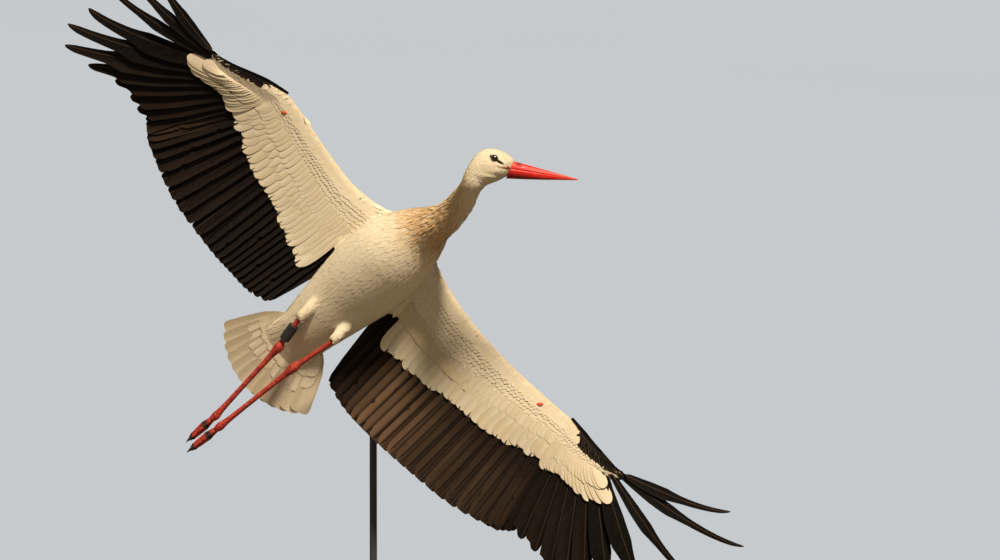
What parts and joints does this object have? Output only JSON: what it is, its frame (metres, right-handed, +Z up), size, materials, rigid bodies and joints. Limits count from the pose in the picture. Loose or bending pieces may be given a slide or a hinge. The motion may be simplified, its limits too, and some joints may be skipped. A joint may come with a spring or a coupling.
{
  "type": "white stork in flight, still model on a display stand",
  "caption": "Life-size still model of a white stork in a banked soaring glide, wings spread and legs trailing, held up by a bent rod on a round flat base.",
  "frame": {"origin": "middle of the round base's underside, on the floor", "axes": "+Z up; the stork's head looks along +X; its belly faces -Y and its back faces +Y"},
  "size_m": [1.4919, 0.6214, 1.4964],
  "materials": {
    "white_feather": "soft matt feathers, warm white",
    "black_feather": "flight feathers, black with a faint sheen",
    "red_horn": "smooth red horn",
    "red_leg_skin": "scaled red skin",
    "dark_eye": "wet, nearly black",
    "ring_plastic": "plain black plastic",
    "stand_paint": "satin dark grey paint on steel"
  },
  "bodies": {
    "root": {"torso": "white_feather", "neck_lower": "white_feather", "neck_upper": "white_feather", "head": "white_feather", "eye_left": "dark_eye", "eye_right": "dark_eye", "bill_upper": "red_horn", "bill_lower": "red_horn", "inner_wing_left": "white_feather", "inner_wing_right": "white_feather", "outer_wing_left": "black_feather", "outer_wing_right": "black_feather", "tail": "white_feather", "thigh_left": "white_feather", "thigh_right": "white_feather", "shank_left": "red_leg_skin", "shank_right": "red_leg_skin", "tarsus_left": "red_leg_skin", "tarsus_right": "red_leg_skin", "foot_left": "red_leg_skin", "foot_right": "red_leg_skin", "leg_ring": "ring_plastic", "stand_base": "stand_paint", "stand_rod": "stand_paint"}
  },
  "joints": []
}
